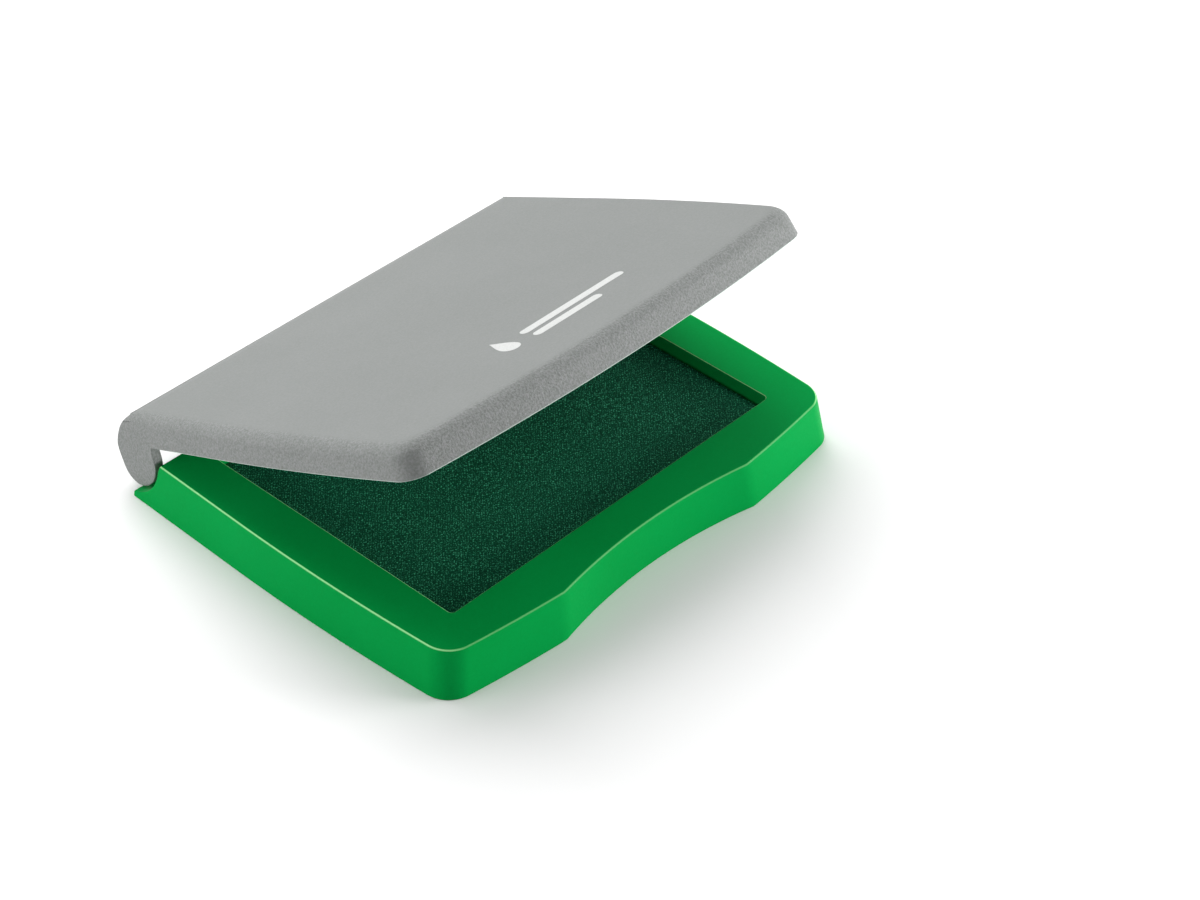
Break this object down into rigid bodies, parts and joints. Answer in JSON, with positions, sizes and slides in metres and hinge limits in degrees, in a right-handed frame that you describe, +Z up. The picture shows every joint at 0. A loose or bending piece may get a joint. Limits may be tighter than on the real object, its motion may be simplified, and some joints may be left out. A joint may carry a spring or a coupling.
{
  "type": "ink pad",
  "caption": "Hinged stamp pad: a flared plastic tray with a cloth-covered felt pad and a pinned lid that closes over it.",
  "frame": {"origin": "on the surface that the pad stands on, in the middle of its length and 35 mm behind the front edge of the inking area", "axes": "+X along the long side and the hinge, +Y from the finger notch to the hinge, +Z up"},
  "size_m": [0.1398, 0.1173, 0.0643],
  "materials": {
    "case_green": "satin moulded",
    "inner_plastic": "matte moulded",
    "ink_felt": "ink-soaked felt",
    "pad_cloth": "fine woven, inked",
    "pin_steel": "drawn",
    "lid_grey": "fine grained"
  },
  "bodies": {
    "case": {"tray": "case_green", "bottom_plate": "case_green", "pad_carrier": "inner_plastic", "reservoir_felt": "ink_felt", "transfer_felt": "ink_felt", "cover_cloth": "pad_cloth", "cloth_clamp": "inner_plastic", "hinge_pin_left": "pin_steel", "hinge_pin_right": "pin_steel"},
    "lid": {"lid": "lid_grey"}
  },
  "joints": [
    {"name": "lid_hinge", "type": "hinge", "parent": "case", "child": "lid", "pos_m": [0, 0.0617, 0.0108], "axis": [-1, 0, 0], "range_deg": [-24.5, 90]}
  ]
}
